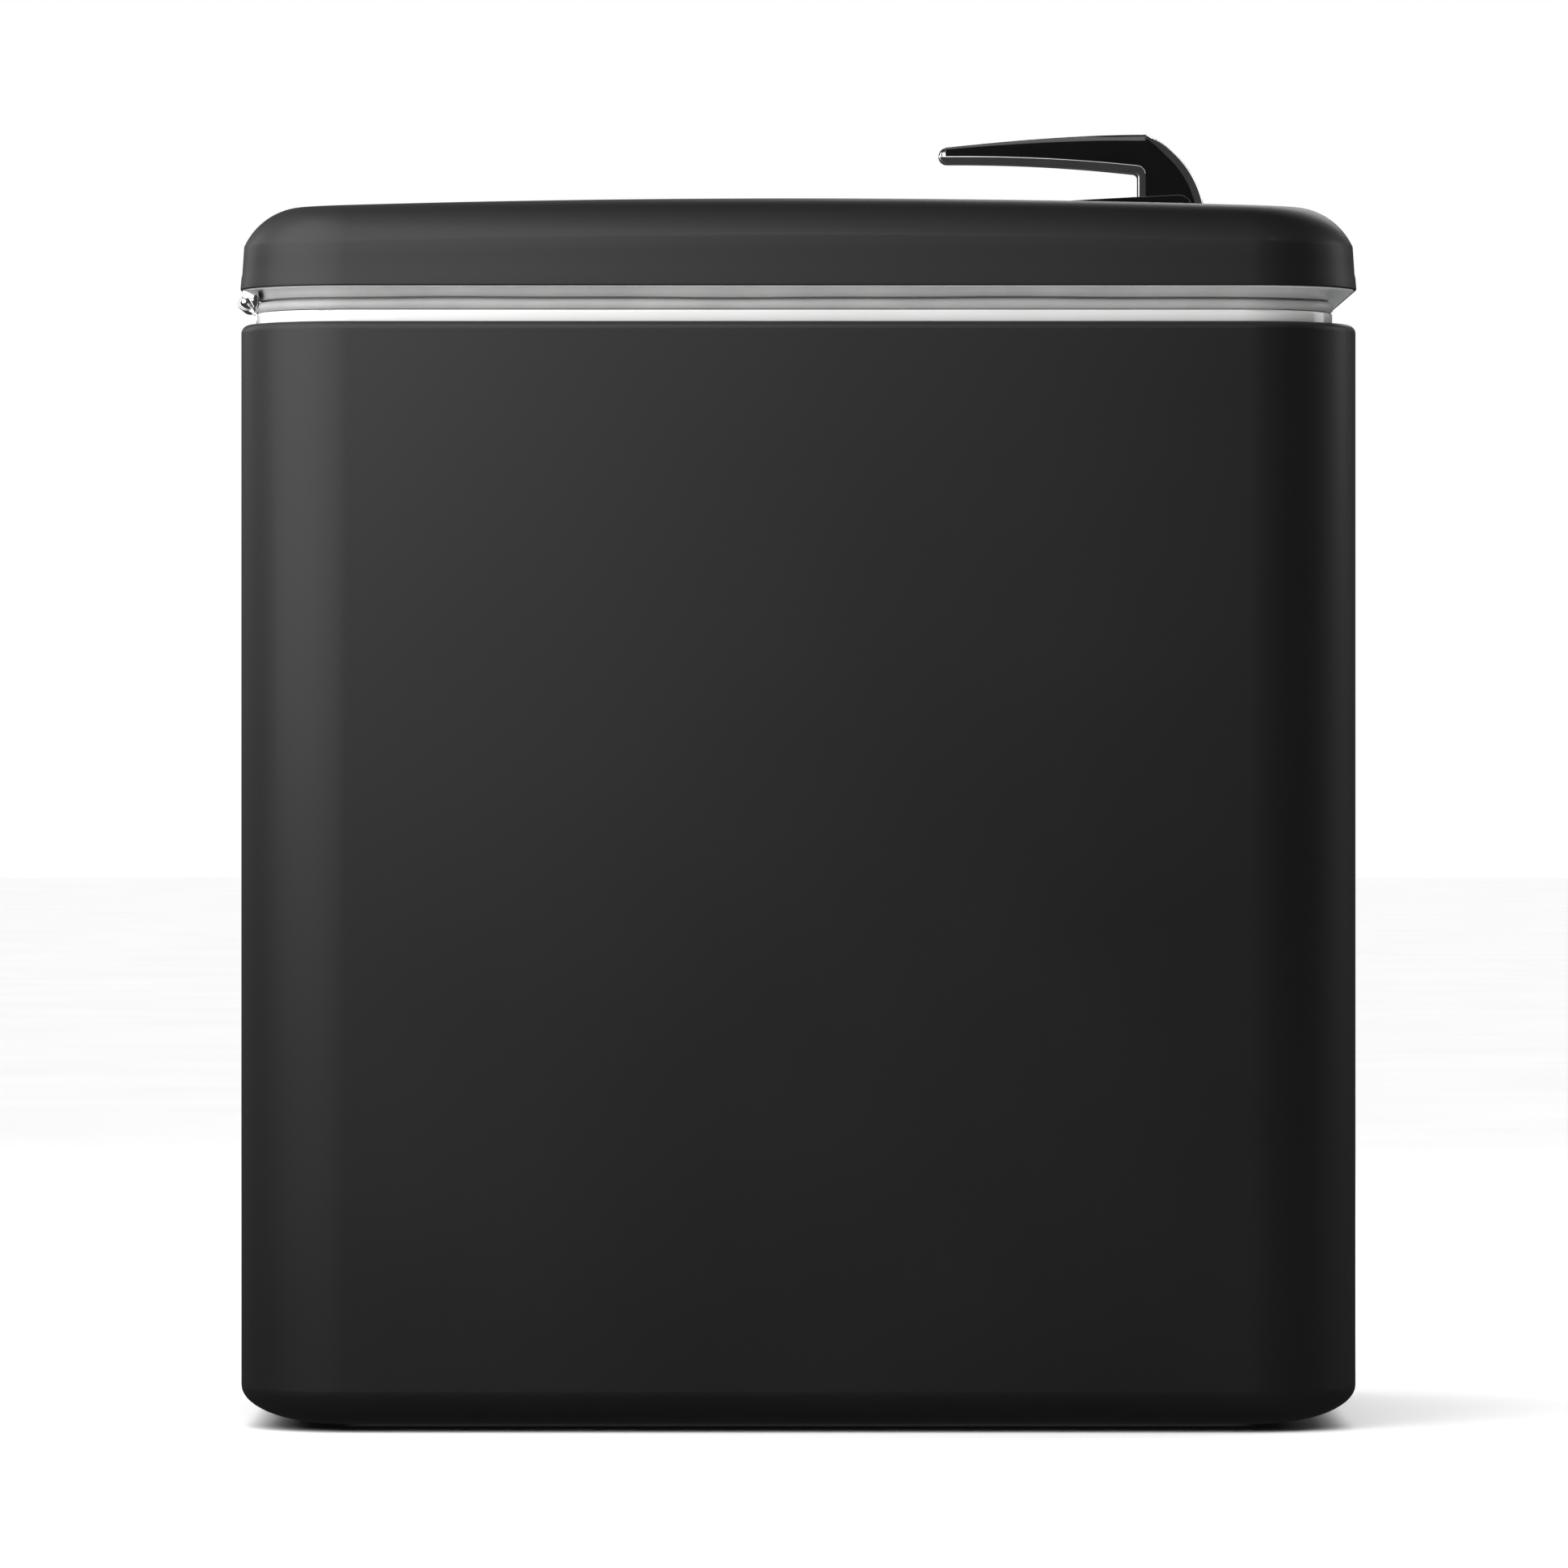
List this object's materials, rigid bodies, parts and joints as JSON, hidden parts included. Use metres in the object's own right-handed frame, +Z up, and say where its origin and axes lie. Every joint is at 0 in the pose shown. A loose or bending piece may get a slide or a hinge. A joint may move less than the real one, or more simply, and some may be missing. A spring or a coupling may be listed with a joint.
{
  "type": "trash compactor",
  "caption": "Top-loading trash compactor with a satin enamel cabinet, hinged crowned lid, lever latch and a geared press that drops a platen into a lift-out steel bin.",
  "frame": {"origin": "on the floor, under the middle of the cabinet", "axes": "+Z up, +X towards the latch side (front), Y across the width, hinge at -X"},
  "size_m": [0.6129, 0.382, 0.7158],
  "materials": {
    "enamel": "satin black baked enamel",
    "collar_white": "gloss white baked enamel",
    "gasket": "pale grey soft vinyl",
    "chrome": "polished chrome plate",
    "lever_black": "mirror black",
    "galvanised": "galvanised sheet",
    "stainless": "brushed stainless sheet",
    "frame_steel": "semi-matt dark grey primer",
    "machined": "machined steel",
    "cast": "painted casting",
    "zinc": "bright zinc plate",
    "foot_rubber": "black rubber",
    "black_plastic": "fine moulded grain",
    "liner_grey": "pale grey enamel",
    "board": "circuit board",
    "start_green": "moulded green",
    "stop_red": "moulded red",
    "filter_grey": "moulded grey",
    "brass": "contact brass"
  },
  "bodies": {
    "cabinet": {"cabinet_shell": "enamel", "base_pan": "galvanised", "base_frame": "frame_steel", "floor_plate": "galvanised", "foot_cross_members": "frame_steel", "corner_uprights": "frame_steel", "foot_pads": "foot_rubber", "foot_stems": "zinc", "foot_nuts": "zinc", "top_collar": "collar_white", "latch_keeper": "zinc", "keeper_screws": "zinc", "inner_liner": "liner_grey", "waste_bin": "stainless", "bin_rim": "stainless", "cover_frame": "galvanised", "rear_cover": "enamel", "cover_screws": "zinc", "mains_inlet": "black_plastic", "inlet_contacts": "brass", "control_bezel": "stainless", "control_box": "black_plastic", "control_board": "board", "hinge_body_leaves": "chrome", "hinge_pins": "chrome", "lid_sensor": "black_plastic"},
    "start": {"start_button": "start_green"},
    "stop": {"stop_button": "stop_red"},
    "key": {"key_switch": "chrome"},
    "lid": {"lid_shell": "enamel", "lid_pan": "liner_grey", "lid_gasket": "gasket", "lid_stiffeners": "galvanised", "hinge_lid_leaves": "chrome", "lever_pin": "zinc", "lever_escutcheon": "lever_black", "latch_guide": "black_plastic", "latch_spring": "zinc", "lid_magnet": "machined", "odour_filter": "filter_grey", "base_pins": "zinc", "press_bracket": "frame_steel", "worm_gearbox": "cast", "drive_motor": "frame_steel", "bracket_screws": "zinc"},
    "lever": {"lever_handle": "lever_black", "lever_trim": "chrome"},
    "bolt": {"latch_bolt": "zinc"},
    "rear_upper": {"upper_arm_rear": "machined", "knee_pin_rear": "zinc"},
    "front_upper": {"upper_arm_front": "machined", "knee_pin_front": "zinc"},
    "rear_lower": {"lower_arm_rear": "frame_steel"},
    "front_lower": {"lower_arm_front": "frame_steel"},
    "pinion": {"drive_pinion": "machined"},
    "press_plate": {"platen": "stainless", "platen_channels": "galvanised", "platen_saddle": "cast", "platen_screws": "zinc", "platen_pins": "zinc"}
  },
  "joints": [
    {"name": "lid_hinge", "type": "hinge", "parent": "cabinet", "child": "lid", "pos_m": [-0.3025, 0, 0.6155], "axis": [0, -1, 0], "range_deg": [0, 105]},
    {"name": "lever_lift", "type": "hinge", "parent": "lid", "child": "lever", "pos_m": [0.208, 0, 0.676], "axis": [0, 1, 0], "range_deg": [0, 25], "stiffness_Nm_per_rad": 1.5, "springref_deg": -20.05},
    {"name": "bolt_slide", "type": "slide", "parent": "lid", "child": "bolt", "axis": [-1, 0, 0], "range_m": [0, 0.0129], "deforming": ["latch_spring"]},
    {"name": "press_drive", "type": "hinge", "parent": "lid", "child": "rear_upper", "pos_m": [-0.03, 0, 0.567], "axis": [0, -1, 0], "range_deg": [0, 59]},
    {"name": "press_mirror", "type": "hinge", "parent": "lid", "child": "front_upper", "pos_m": [0.03, 0, 0.567], "axis": [0, 1, 0], "range_deg": [0, 59]},
    {"name": "rear_knee", "type": "hinge", "parent": "rear_upper", "child": "rear_lower", "pos_m": [-0.20778, 0, 0.53884], "axis": [0, 1, 0], "range_deg": [0, 118]},
    {"name": "front_knee", "type": "hinge", "parent": "front_upper", "child": "front_lower", "pos_m": [0.20778, 0, 0.53884], "axis": [0, -1, 0], "range_deg": [0, 118]},
    {"name": "platen_swing", "type": "hinge", "parent": "rear_lower", "child": "press_plate", "pos_m": [-0.03, 0, 0.51068], "axis": [0, -1, 0], "range_deg": [0, 59]},
    {"name": "pinion_spin", "type": "hinge", "parent": "lid", "child": "pinion", "pos_m": [-0.06011, 0, 0.60044], "axis": [0, 1, 0], "range_deg": [0, 118]},
    {"name": "start_press", "type": "slide", "parent": "cabinet", "child": "start", "axis": [-1, 0, 0], "range_m": [0, 0.003], "stiffness_N_per_m": 400, "springref_m": -0.001},
    {"name": "stop_press", "type": "slide", "parent": "cabinet", "child": "stop", "axis": [-1, 0, 0], "range_m": [0, 0.003], "stiffness_N_per_m": 400, "springref_m": -0.001},
    {"name": "key_turn", "type": "hinge", "parent": "cabinet", "child": "key", "pos_m": [0.305, 0.034, 0.545], "axis": [-1, 0, 0], "range_deg": [0, 90]}
  ],
  "couplings": [
    {"joint": "bolt_slide", "follows": "lever_lift", "m_per_rad": 0.0294},
    {"joint": "press_mirror", "follows": "press_drive", "ratio": 1},
    {"joint": "rear_knee", "follows": "press_drive", "ratio": 2},
    {"joint": "front_knee", "follows": "press_drive", "ratio": 2},
    {"joint": "platen_swing", "follows": "press_drive", "ratio": 1},
    {"joint": "pinion_spin", "follows": "press_drive", "ratio": 2}
  ]
}
